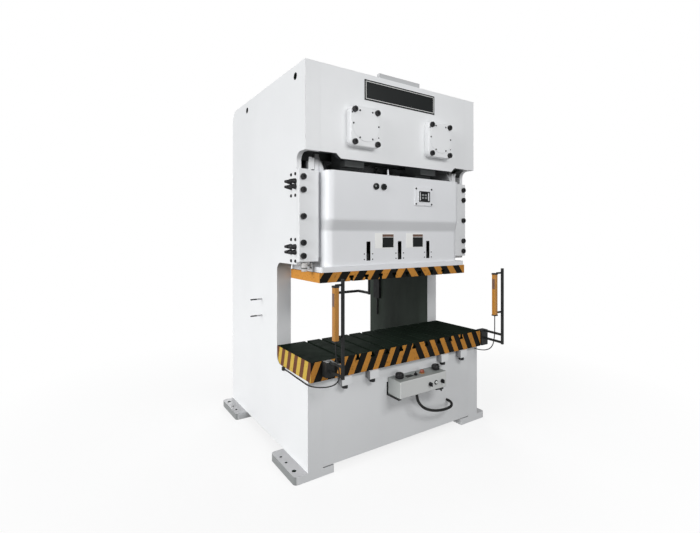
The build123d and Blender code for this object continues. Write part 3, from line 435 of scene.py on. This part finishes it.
label_dark = paint("label dark", (0.008, 0.010, 0.010), 0.45, 0.3, 0.0005, shine=0.2)
label_band = paint("label band", label_red, 0.4, 0.2, 0.0005)
lamp = paint("lamp lens", (0.70, 0.72, 0.70), 0.15, 0.05, 0.0005)

bed_stripes = striped_plate(
    "bolster stripes",
    "bolster",
    True,
    (stripe_brown, stripe_yellow),
    middle=0.060,
    period=0.121,
    lean=0.47,
    base_z=bolster_top,
    start=0.070,
    stretch=0.965,
    share=0.46,
)
slide_stripes = striped_plate(
    "slide plate stripes",
    "slide_plate",
    False,
    (stripe_orange, stripe_orange),
    middle=0.062,
    period=0.168,
    lean=0.73,
    base_z=1.5075,
    start=0.034,
    stretch=1.0,
    share=0.5,
)

cad_materials = (
    (frame_white, "frame_left frame_right"),
    (crown_white, "crown_front"),
    (plate_white, "crown_shell bed_plate base_front base_rear"),
    (plate_white, "gib_housing_left gib_housing_right bearing_cover_left bearing_cover_right"),
    (clamp_white, "bolster_clamps"),
    (console_grey, "console_box"),
    (slide_white, "slide_body indicator_plate"),
    (cylinder_grey, "balance_cylinders"),
    (cup_grey, "oil_cup"),
    (steel, "crankshaft_left crankshaft_right main_gear_left main_gear_right"),
    (steel, "rod_screw_left rod_screw_right balance_rods pinion_shaft"),
    (cast, "con_rod_left con_rod_right flywheel motor_pulley overload_cylinders"),
    (cast, "drive_wall motor_shelf"),
    (housing, "gear_case"),
    (bronze, "gib_liners shaft_bushes"),
    (bed_stripes, "bolster"),
    (slide_stripes, "slide_plate"),
    (black_coat, "knockout_bar_left knockout_bar_middle knockout_bar_right slide_gauges"),
    (black_coat, "curtain_brackets console_bracket rear_arm junction_box"),
    (bolt_black, "socket_bolts gib_adjusters"),
    (signal, "light_curtain_left light_curtain_right"),
    (motor_blue, "motor adjust_motor"),
    (rubber, "drive_belts"),
    (plastic, "palm_button_left palm_button_right selector_left selector_right"),
    (red_plastic, "stop_button"),
)
for material, names in cad_materials:
    for node_name in names.split():
        nodes[node_name].data.materials.clear()
        nodes[node_name].data.materials.append(material)


# Pieces drawn here on top of the CAD frame


def add_mesh(name, mesh_maker, material, body, bevel=0.0):
    """Make one mesh object, bevel it, and let it ride on its body."""
    work = bmesh.new()
    mesh_maker(work)
    bmesh.ops.recalc_face_normals(work, faces=work.faces)
    mesh = bpy.data.meshes.new(name)
    work.to_mesh(mesh)
    work.free()
    obj = bpy.data.objects.new(name, mesh)
    bpy.context.collection.objects.link(obj)
    mesh.materials.append(material)
    if bevel:
        modifier = obj.modifiers.new("edges", "BEVEL")
        modifier.width = bevel
        modifier.segments = 2
        modifier.limit_method = "ANGLE"
    mesh.shade_smooth()
    smooth = obj.modifiers.new("normals", "WEIGHTED_NORMAL")
    smooth.keep_sharp = True
    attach(obj, body)
    return obj


def add_block(work, low, high):
    """Add a block between two corners to a bmesh."""
    centre = [(a + b) / 2 for a, b in zip(low, high)]
    size = [b - a for a, b in zip(low, high)]
    place = Matrix.Translation(centre) @ Matrix.Diagonal((*size, 1))
    bmesh.ops.create_cube(work, size=1, matrix=place)


def add_lathe(work, centre, axis, outline, segments=24):
    """Add a turned shape about an axis; outline lists (radius, distance along the axis)."""
    turn = Vector((0, 0, 1)).rotation_difference(Vector(axis)).to_matrix()
    rings = []
    for radius, along in outline:
        ring = []
        for index in range(segments):
            angle = 2 * pi * index / segments
            point = turn @ Vector((radius * cos(angle), radius * sin(angle), along))
            ring.append(work.verts.new(Vector(centre) + point))
        rings.append(ring)
    for lower, upper in zip(rings, rings[1:]):
        for index in range(segments):
            after = (index + 1) % segments
            work.faces.new((lower[index], lower[after], upper[after], upper[index]))
    work.faces.new(rings[0][::-1])
    work.faces.new(rings[-1])


def blocks(name, corners, material, body, bevel=0.001):
    """One object made of blocks given as (low, high) corners."""

    def make(work):
        for low, high in corners:
            add_block(work, low, high)

    return add_mesh(name, make, material, body, bevel)


def turned(name, places, axis, outline, material, body, segments=24):
    """One object made of the same turned shape at several places."""

    def make(work):
        for place in places:
            add_lathe(work, place, axis, outline, segments)

    return add_mesh(name, make, material, body)


def screw_outline(radius, height):
    """The outline of a small domed screw head with a shallow recess."""
    return (
        (radius, -0.002),
        (radius, height * 0.5),
        (radius * 0.85, height),
        (radius * 0.5, height),
        (radius * 0.45, height * 0.4),
    )


def border(name, left, right, low, high, face, inset, width, material, body):
    """A thin raised line round a plate, inset from its edge."""
    x0, x1, z0, z1 = left + inset, right - inset, low + inset, high - inset
    y0, y1 = face - 0.0012, face + 0.001
    bars = [
        ((x0, y0, z0), (x1, y1, z0 + width)),
        ((x0, y0, z1 - width), (x1, y1, z1)),
        ((x0, y0, z0 + width), (x0 + width, y1, z1 - width)),
        ((x1 - width, y0, z0 + width), (x1, y1, z1 - width)),
    ]
    return blocks(name, bars, material, body, 0.0003)


toward_front = (0, -1, 0)
crown_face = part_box("crown_front")[0][1]
cover_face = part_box("bearing_cover_left")[0][1]
slide_upper_face = -0.834
slide_lower_face = -0.809
side_face = 0.949
crank_places = {"left": (-0.425, 2.718), "right": (0.425, 2.718)}

# Bare name plate on the crown, a dark field with a thin pale line round it
plate_left, plate_right, plate_low, plate_high = -0.400, 0.400, 2.963, 3.134
plate_face = crown_face - 0.004
blocks(
    "name_plate",
    [((plate_left, plate_face, plate_low), (plate_right, crown_face + 0.001, plate_high))],
    label_dark,
    "frame",
)


border(
    "name_plate_line",
    plate_left,
    plate_right,
    plate_low,
    plate_high,
    plate_face,
    0.012,
    0.004,
    label_white,
    "frame",
)

# Small screws and dowels of the bearing covers
ring_radius, ring_lift = 0.126, 0.018
for name, (x, z) in crank_places.items():
    ring = [
        (x + ring_radius * cos(radians(angle)), cover_face, z + ring_lift + ring_radius * sin(radians(angle)))
        for angle in range(0, 360, 60)
    ]
    dowels = [(x - 0.136, cover_face + 0.003, z + 0.104), (x + 0.128, cover_face + 0.003, z - 0.072)]
    for kind, places, outline in (
        ("screws", ring, screw_outline(0.0075, 0.004)),
        ("dowels", dowels, screw_outline(0.006, 0.002)),
    ):
        turned(f"cover_{kind}_{name}", places, toward_front, outline, bolt_black, "frame")

# Label fields on the slide: pale plate, dark field, coloured band, all without words
for name, left in (("left", -0.272), ("right", 0.076)):
    right, low, high = left + 0.204, 1.728, 1.858
    face = slide_lower_face
    field = left + 0.078
    blocks(
        f"label_{name}",
        [((left, face - 0.0018, low), (right, face + 0.001, high))],
        label_white,
        "slide",
        0.0006,
    )
    blocks(
        f"label_field_{name}",
        [((field, face - 0.0026, low + 0.006), (right - 0.004, face - 0.001, high - 0.036))],
        label_dark,
        "slide",
        0.0003,
    )
    blocks(
        f"label_band_{name}",
        [((field, face - 0.0026, high - 0.032), (right - 0.004, face - 0.001, high - 0.010))],
        label_band,
        "slide",
        0.0003,
    )

# Guide screws beside each knock-out slot
slot_screws = [
    (x + dx, slide_lower_face, z)
    for x in (-0.342, 0.0, 0.342)
    for dx in (-0.043, 0.043)
    for z in (1.683, 1.637)
]
turned(
    "slot_screws",
    slot_screws,
    toward_front,
    screw_outline(0.0055, 0.003),
    bolt_black,
    "slide",
    16,
)

# Height indicator: corner screws, dark bezel and counter windows
indicator_x, indicator_z = 0.260, 2.192
indicator_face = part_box("indicator_plate")[0][1]
indicator_screws = [
    (indicator_x + dx, slide_upper_face - 0.010, indicator_z + dz)
    for dx in (-0.095, 0.095)
    for dz in (-0.069, 0.069)
]
turned(
    "indicator_screws",
    indicator_screws,
    toward_front,
    screw_outline(0.009, 0.004),
    bolt_black,
    "slide",
)
blocks(
    "indicator_screen",
    [
        (
            (indicator_x - 0.047, slide_upper_face - 0.0145, indicator_z - 0.037),
            (indicator_x + 0.047, slide_upper_face - 0.0125, indicator_z + 0.037),
        )
    ],
    screen,
    "slide",
    0.0003,
)
border(
    "indicator_bezel",
    indicator_x - 0.068,
    indicator_x + 0.068,
    indicator_z - 0.048,
    indicator_z + 0.048,
    indicator_face,
    0.0005,
    0.011,
    black_coat,
    "slide",
)
blocks(
    "indicator_counter",
    [
        (
            (indicator_x + dx - 0.012, slide_upper_face - 0.0165, indicator_z + dz - 0.008),
            (indicator_x + dx + 0.012, slide_upper_face - 0.0140, indicator_z + dz + 0.008),
        )
        for dx in (-0.018, 0.018)
        for dz in (-0.013, 0.013)
    ],
    label_grey,
    "slide",
    0.0004,
)

# Faces of the two round gauges
for name, x in (("left", -0.283), ("right", -0.201)):
    turned(
        f"gauge_face_{name}",
        [(x, slide_upper_face - 0.0075, 2.252)],
        toward_front,
        ((0.0205, 0.0), (0.0205, 0.003), (0.019, 0.0035)),
        screen,
        "slide",
        32,
    )
turned(
    "gauge_mark",
    [(-0.290, slide_upper_face - 0.011, 2.254)],
    toward_front,
    ((0.009, -0.001), (0.009, 0.0006), (0.008, 0.001)),
    label_grey,
    "slide",
    20,
)

# Oiling pin on top of the slide's front edge
turned(
    "oiling_pin",
    [(-0.134, -0.812, 2.355)],
    (0, 0, 1),
    ((0.010, 0.0), (0.010, 0.014), (0.006, 0.018), (0.006, 0.046), (0.004, 0.056)),
    slide_white,
    "slide",
)

# Two pegs on the left side frame
turned(
    "side_pegs",
    [(-side_face, 0.031, 1.250), (-side_face, 0.031, 1.099)],
    (-1, 0, 0),
    ((0.0065, 0.0), (0.0065, 0.108), (0.0045, 0.112)),
    peg_grey,
    "frame",
)

# Small screws and tapered collars of the gib adjusters
adjuster_columns = (-0.668, -0.592)
for name, side in (("left", -1), ("right", 1)):
    turned(
        f"adjuster_screws_{name}",
        [(side * side_face, y, z) for y in adjuster_columns for z in (1.636, 1.806, 2.156, 2.325)],
        (side, 0, 0),
        ((0.013, 0.0), (0.013, 0.006), (0.011, 0.008), (0.006, 0.008), (0.005, 0.003)),
        bolt_black,
        "frame",
        16,
    )
    turned(
        f"adjuster_collars_{name}",
        [(side * side_face, y, z) for y in adjuster_columns for z in (1.707, 1.750, 2.225, 2.268)],
        (side, 0, 0),
        ((0.021, 0.0), (0.021, 0.012), (0.0155, 0.034), (0.0105, 0.056)),
        bolt_black,
        "frame",
        20,
    )

# Dark end caps and a bare label field on each light curtain
for name in ("left", "right"):
    low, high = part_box(f"light_curtain_{name}")
    caps = [
        ((low[0] - 0.001, low[1] - 0.001, z0), (high[0] + 0.001, high[1] + 0.001, z1))
        for z0, z1 in ((low[2] - 0.002, low[2] + 0.010), (high[2] - 0.008, high[2] + 0.007))
    ]
    blocks(f"curtain_caps_{name}", caps, black_coat, "frame", 0.002)
    label_low = (low[0] - 0.0012, low[1] + 0.004, high[2] - 0.141)
    label_high = (low[0] + 0.001, low[1] + 0.032, high[2] - 0.047)
    blocks(
        f"curtain_label_{name}",
        [(label_low, label_high)],
        label_band,
        "frame",
        0.0003,
    )

# Console details
console_low, console_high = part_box("console_box")
console_face = console_low[1]
console_top = console_high[2]
console_mid = (console_low[1] + console_high[1]) / 2
lamp_x, lamp_z = 0.210, 0.566
turned(
    "lamp_ring",
    [(lamp_x, console_face, lamp_z)],
    toward_front,
    ((0.019, -0.002), (0.019, 0.005), (0.016, 0.008), (0.013, 0.005)),
    bolt_black,
    "frame",
    32,
)
turned(
    "lamp_lens",
    [(lamp_x, console_face - 0.003, lamp_z)],
    toward_front,
    ((0.0125, 0.0), (0.0125, 0.006), (0.009, 0.010), (0.003, 0.012)),
    lamp,
    "frame",
    32,
)
turned(
    "stop_guard",
    [(0.123, console_mid, console_top)],
    (0, 0, 1),
    ((0.024, -0.001), (0.024, 0.003), (0.021, 0.004)),
    signal,
    "frame",
    32,
)
turned(
    "key_switch",
    [(0.040, console_mid - 0.012, console_top)],
    (0, 0, 1),
    ((0.016, -0.001), (0.016, 0.012), (0.013, 0.016), (0.006, 0.016), (0.005, 0.030)),
    plastic,
    "frame",
    32,
)
strip_low = (-0.060, console_mid - 0.022, console_top - 0.0005)
strip_high = (0.015, console_mid + 0.024, console_top + 0.0015)
blocks(
    "console_top_strip",
    [(strip_low, strip_high)],
    label_dark,
    "frame",
    0.0005,
)
blocks(
    "console_latch",
    [
        ((0.218, console_face + 0.004, 0.493), (0.262, console_face + 0.020, 0.503)),
        ((0.258, console_face + 0.002, 0.487), (0.304, console_face + 0.022, 0.506)),
        ((0.280, console_face + 0.006, 0.472), (0.292, console_face + 0.016, 0.490)),
    ],
    black_coat,
    "frame",
    0.002,
)


# Cords: each follows the route of its CAD tube


def add_cord(node, route, radius, material):
    """A cord as a smooth curve along its route, shown in place of its CAD tube."""
    curve = bpy.data.curves.new(node, "CURVE")
    curve.dimensions = "3D"
    curve.bevel_depth = radius
    curve.bevel_resolution = 4
    curve.resolution_u = 10
    curve.use_fill_caps = True
    line = curve.splines.new("NURBS")
    line.points.add(len(route) - 1)
    for point, place in zip(line.points, route):
        point.co = (*place, 1)
    line.order_u = 3
    line.use_endpoint_u = True
    obj = bpy.data.objects.new(f"{node}_cord", curve)
    bpy.context.collection.objects.link(obj)
    curve.materials.append(material)
    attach(obj, "frame")
    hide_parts(node)
    return obj


cable_routes = {
    "left": (
        (-0.862, -1.125, 1.083),
        (-0.862, -1.125, 1.010),
        (-0.852, -1.129, 0.935),
        (-0.833, -1.130, 0.868),
        (-0.824, -1.115, 0.805),
        (-0.840, -1.080, 0.760),
        (-0.880, -1.035, 0.738),
        (-0.925, -0.975, 0.728),
        (-0.962, -0.905, 0.725),
        (-0.960, -0.805, 0.728),
        (-0.962, -0.705, 0.730),
        (-0.960, -0.615, 0.733),
        (-0.961, -0.540, 0.736),
        (-0.961, -0.475, 0.736),
    ),
    "right": (
        (0.899, -1.125, 1.083),
        (0.899, -1.125, 1.000),
        (0.903, -1.121, 0.890),
        (0.908, -1.100, 0.800),
        (0.916, -1.050, 0.745),
        (0.915, -0.960, 0.715),
        (0.915, -0.875, 0.715),
    ),
}
cable_radius = 0.0045
for name, route in cable_routes.items():
    add_cord(f"curtain_cable_{name}", route, cable_radius, rubber)

conduit_route = (
    (0.040, -0.985, 0.503),
    (0.040, -0.985, 0.443),
    (0.085, -0.985, 0.372),
    (0.163, -0.985, 0.318),
    (0.268, -0.986, 0.284),
    (0.378, -0.986, 0.270),
    (0.458, -0.986, 0.276),
    (0.498, -0.962, 0.286),
    (0.520, -0.921, 0.294),
    (0.520, -0.875, 0.294),
)
conduit_radius = 0.012
add_cord("console_conduit", conduit_route, conduit_radius, rubber)


# Studio


def add_sun(name, toward, strength, softness):
    """A distant lamp; toward points from the press to the lamp."""
    light = bpy.data.lights.new(name, "SUN")
    light.energy = strength
    light.angle = radians(softness)
    obj = bpy.data.objects.new(name, light)
    obj.rotation_euler = Vector(toward).to_track_quat("Z", "Y").to_euler()
    bpy.context.collection.objects.link(obj)


def add_panel(name, place, target, size, power):
    """A soft rectangular lamp that looks at a target."""
    light = bpy.data.lights.new(name, "AREA")
    light.shape = "RECTANGLE"
    light.size, light.size_y = size
    light.energy = power
    obj = bpy.data.objects.new(name, light)
    obj.location = place
    obj.rotation_euler = (Vector(place) - Vector(target)).to_track_quat("Z", "Y").to_euler()
    bpy.context.collection.objects.link(obj)


def add_floor():
    """A pale floor under the press that shows white to the camera and keeps the shadow soft."""
    mesh = bpy.data.meshes.new("floor")
    reach = 30.0
    bright_from, bright_to = 1.6, 4.0
    corners = [(-reach, -reach, 0), (reach, -reach, 0), (reach, reach, 0), (-reach, reach, 0)]
    mesh.from_pydata(corners, [], [(0, 1, 2, 3)])
    floor = bpy.data.objects.new("floor", mesh)
    bpy.context.collection.objects.link(floor)
    shader = Shader("studio floor")
    path = shader.add("ShaderNodeLightPath")
    pale = shader.mix(shader.uneven(3.0), (0.90, 0.90, 0.90), (0.92, 0.92, 0.92))
    shader.finish(shader.mix(path.outputs["Is Camera Ray"], floor_dim, pale), 0.9)
    glow = shader.add("ShaderNodeEmission")
    glow.inputs["Color"].default_value = (1, 1, 1, 1)
    blend = shader.add("ShaderNodeMixShader")
    seen = shader.either(path.outputs["Is Camera Ray"], path.outputs["Is Glossy Ray"])
    x, y, z = shader.axes(shader.place)
    away = shader.maths("SQRT", shader.maths("ADD", shader.both(x, x), shader.both(y, y)))
    strength = shader.between(away, bright_from, bright_to, 0.80, 1.0)
    shader.link(shader.both(seen, strength), blend.inputs[0])
    shader.link(shader.surface.outputs[0], blend.inputs[1])
    shader.link(glow.outputs[0], blend.inputs[2])
    shader.link(blend.outputs[0], shader.tree.nodes["Material Output"].inputs["Surface"])
    mesh.materials.append(shader.material)


def add_world():
    """A dim even sky for the light, and pure white where the camera sees it."""
    world = bpy.data.worlds.new("studio")
    bpy.context.scene.world = world
    world.use_nodes = True
    tree_nodes = world.node_tree.nodes
    sky = tree_nodes["Background"]
    sky.inputs["Color"].default_value = (0.96, 0.98, 1.0, 1)
    sky.inputs["Strength"].default_value = 0.25
    backdrop = tree_nodes.new("ShaderNodeBackground")
    backdrop.inputs["Color"].default_value = (1, 1, 1, 1)
    rays = tree_nodes.new("ShaderNodeLightPath")
    either = tree_nodes.new("ShaderNodeMath")
    either.operation = "MAXIMUM"
    blend = tree_nodes.new("ShaderNodeMixShader")
    for start, end in (
        (rays.outputs["Is Camera Ray"], either.inputs[0]),
        (rays.outputs["Is Transmission Ray"], either.inputs[1]),
        (either.outputs[0], blend.inputs[0]),
        (sky.outputs[0], blend.inputs[1]),
        (backdrop.outputs[0], blend.inputs[2]),
        (blend.outputs[0], tree_nodes["World Output"].inputs["Surface"]),
    ):
        world.node_tree.links.new(start, end)


def add_camera():
    """The photograph's camera: level, with the horizon where the photograph has it."""
    lens = bpy.data.cameras.new("camera")
    lens.sensor_width = sensor_width
    lens.lens = sensor_width * focal_pixels / photo_width
    lens.shift_y = -horizon_pixels / photo_width
    lens.clip_end = 100
    camera = bpy.data.objects.new("camera", lens)
    camera.location = camera_place
    camera.rotation_euler = (pi / 2, 0, -camera_azimuth)
    bpy.context.collection.objects.link(camera)
    bpy.context.scene.camera = camera


add_sun("key", (-0.95, 0.0, 0.30), 3.0, 40)
add_panel("front fill", (0.3, -4.6, 3.9), (0.0, -0.8, 2.6), (3.0, 1.2), 86)
add_panel("rear fill", (2.6, 5.6, 3.4), (0.3, 0.8, 1.7), (4.0, 3.0), 230)
add_panel("low fill", (-1.2, -4.6, 1.1), (-0.4, -0.6, 1.3), (2.0, 1.0), 30)
add_floor()
add_world()
add_camera()
bpy.context.scene.view_settings.view_transform = "Standard"
